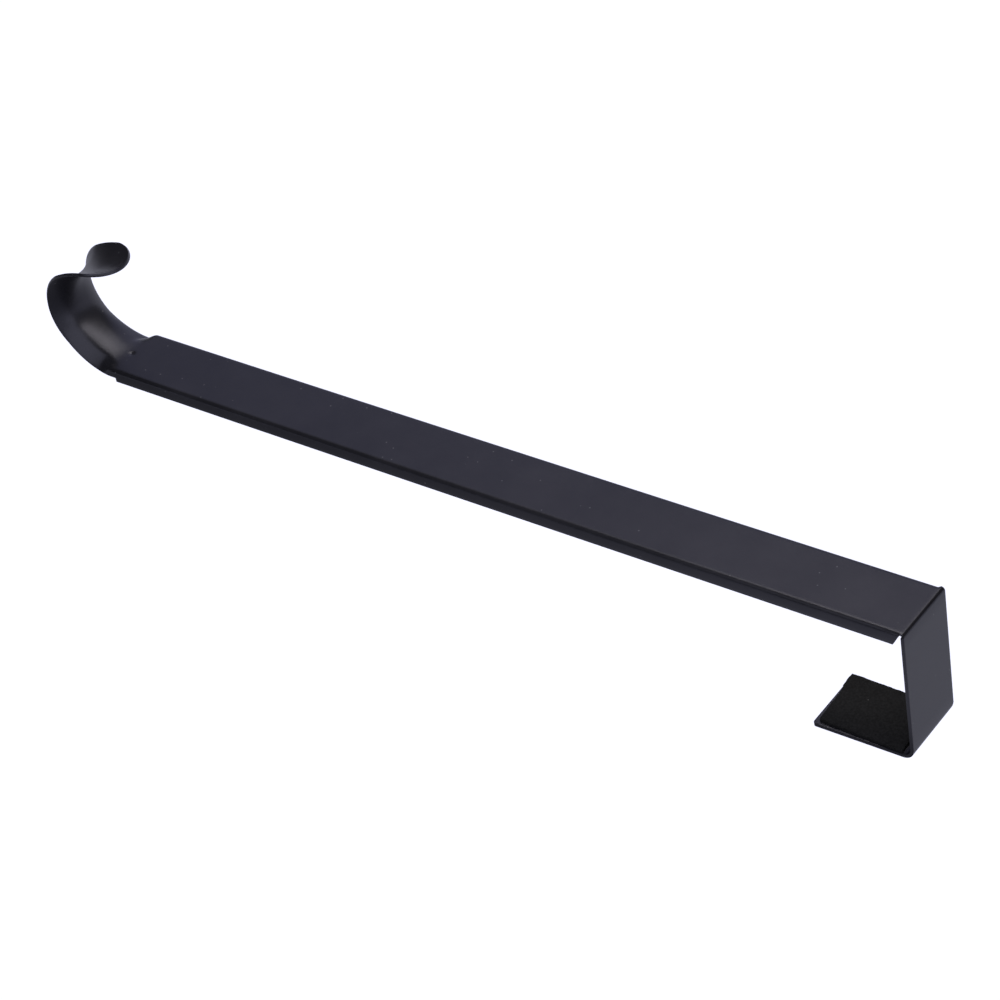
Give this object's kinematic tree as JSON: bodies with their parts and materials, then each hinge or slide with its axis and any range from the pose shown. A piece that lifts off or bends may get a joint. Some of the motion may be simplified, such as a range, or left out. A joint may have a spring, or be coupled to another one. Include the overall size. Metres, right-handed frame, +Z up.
{
  "type": "over door hook",
  "caption": "Black over-door hanger: a folded steel strip with a door-top bracket, a felt-lined lip behind the door and an upturned, saddle-shaped hook at its lower end.",
  "frame": {"origin": "centre of the underside of the door-top plate, where the part rests on the door", "axes": "+Z up, along the body away from the hook; -Y toward the front of the door, where the hook is; +Y toward the lip behind the door; X across the strip"},
  "size_m": [0.0254, 0.0941, 0.3582],
  "materials": {
    "black_paint": "satin powder coat",
    "black_felt": "matt felt"
  },
  "bodies": {
    "root": {"hanger_strip": "black_paint", "lip_felt_pad": "black_felt"}
  },
  "joints": []
}
